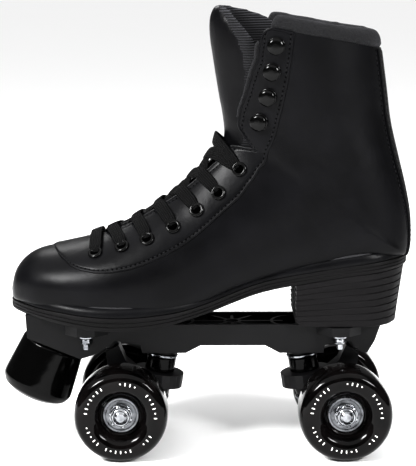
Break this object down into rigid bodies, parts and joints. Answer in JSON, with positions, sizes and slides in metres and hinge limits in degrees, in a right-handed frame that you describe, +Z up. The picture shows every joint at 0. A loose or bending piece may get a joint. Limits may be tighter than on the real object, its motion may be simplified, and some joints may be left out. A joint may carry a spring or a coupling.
{
  "type": "quad roller skate",
  "caption": "High-top lace-up quad roller skate with heeled sole, sprung trucks, urethane wheels and a front toe stop.",
  "frame": {"origin": "middle of the footprint, on the ground", "axes": "+Z up, toe towards -X, outer side towards -Y"},
  "size_m": [0.2584, 0.104, 0.2793],
  "materials": {
    "leather": "smooth semi-matt black leather",
    "lining": "matt brushed fleece",
    "lace": "woven flat cord",
    "sole_rubber": "satin layered rubber",
    "plate_nylon": "fine-grained moulded nylon",
    "truck_nylon": "satin moulded nylon",
    "urethane": "gloss smoke-tinted urethane",
    "black_rubber": "gloss black rubber",
    "steel": "zinc plated",
    "bearing_steel": "ground steel",
    "black_metal": "gloss black lacquer"
  },
  "bodies": {
    "boot": {"boot_upper": "leather", "tongue": "leather", "collar": "lining", "insole": "lining", "laces": "lace", "outsole": "sole_rubber", "heel_stack": "sole_rubber", "baseplate": "plate_nylon", "toe_stop": "black_rubber", "toe_stop_bolt": "steel", "mount_bolt_front_left": "steel", "mount_nut_front_left": "steel", "mount_bolt_front_right": "steel", "mount_nut_front_right": "steel", "mount_bolt_rear_left": "steel", "mount_nut_rear_left": "steel", "mount_bolt_rear_right": "steel", "mount_nut_rear_right": "steel", "hook_left_1": "black_metal", "hook_left_2": "black_metal", "hook_left_3": "black_metal", "hook_left_4": "black_metal", "hook_right_1": "black_metal", "hook_right_2": "black_metal", "hook_right_3": "black_metal", "hook_right_4": "black_metal", "kingpin_front": "steel", "kingpin_nut_front": "steel", "washer_upper_front": "steel", "washer_lower_front": "steel", "cushion_upper_front": "black_rubber", "cushion_lower_front": "black_rubber", "pivot_cup_front": "black_rubber", "kingpin_rear": "steel", "kingpin_nut_rear": "steel", "washer_upper_rear": "steel", "washer_lower_rear": "steel", "cushion_upper_rear": "black_rubber", "cushion_lower_rear": "black_rubber", "pivot_cup_rear": "black_rubber"},
    "front_truck": {"hanger_front": "truck_nylon", "axle_front": "steel", "axle_nut_front_left": "steel", "axle_nut_front_right": "steel"},
    "rear_truck": {"hanger_rear": "truck_nylon", "axle_rear": "steel", "axle_nut_rear_left": "steel", "axle_nut_rear_right": "steel"},
    "front_left_wheel": {"wheel_front_left": "urethane", "bearing_outer_front_left": "bearing_steel", "bearing_inner_front_left": "bearing_steel"},
    "front_right_wheel": {"wheel_front_right": "urethane", "bearing_outer_front_right": "bearing_steel", "bearing_inner_front_right": "bearing_steel"},
    "rear_left_wheel": {"wheel_rear_left": "urethane", "bearing_outer_rear_left": "bearing_steel", "bearing_inner_rear_left": "bearing_steel"},
    "rear_right_wheel": {"wheel_rear_right": "urethane", "bearing_outer_rear_right": "bearing_steel", "bearing_inner_rear_right": "bearing_steel"}
  },
  "joints": [
    {"name": "front_truck_steer", "type": "hinge", "parent": "boot", "child": "front_truck", "pos_m": [-0.06227, 0, 0.068], "axis": [0.7834, 0, -0.6215], "range_deg": [-8, 8], "stiffness_Nm_per_rad": 40, "deforming": ["cushion_upper_front", "cushion_lower_front"]},
    {"name": "front_left_wheel_spin", "type": "hinge", "parent": "front_truck", "child": "front_left_wheel", "pos_m": [-0.05277, -0.036, 0.029], "axis": [0, 1, 0], "continuous": true},
    {"name": "front_right_wheel_spin", "type": "hinge", "parent": "front_truck", "child": "front_right_wheel", "pos_m": [-0.05277, 0.036, 0.029], "axis": [0, 1, 0], "continuous": true},
    {"name": "rear_truck_steer", "type": "hinge", "parent": "boot", "child": "rear_truck", "pos_m": [0.09573, 0, 0.068], "axis": [0.7834, 0, 0.6215], "range_deg": [-8, 8], "stiffness_Nm_per_rad": 40, "deforming": ["cushion_upper_rear", "cushion_lower_rear"]},
    {"name": "rear_left_wheel_spin", "type": "hinge", "parent": "rear_truck", "child": "rear_left_wheel", "pos_m": [0.08623, -0.036, 0.029], "axis": [0, 1, 0], "continuous": true},
    {"name": "rear_right_wheel_spin", "type": "hinge", "parent": "rear_truck", "child": "rear_right_wheel", "pos_m": [0.08623, 0.036, 0.029], "axis": [0, 1, 0], "continuous": true}
  ]
}
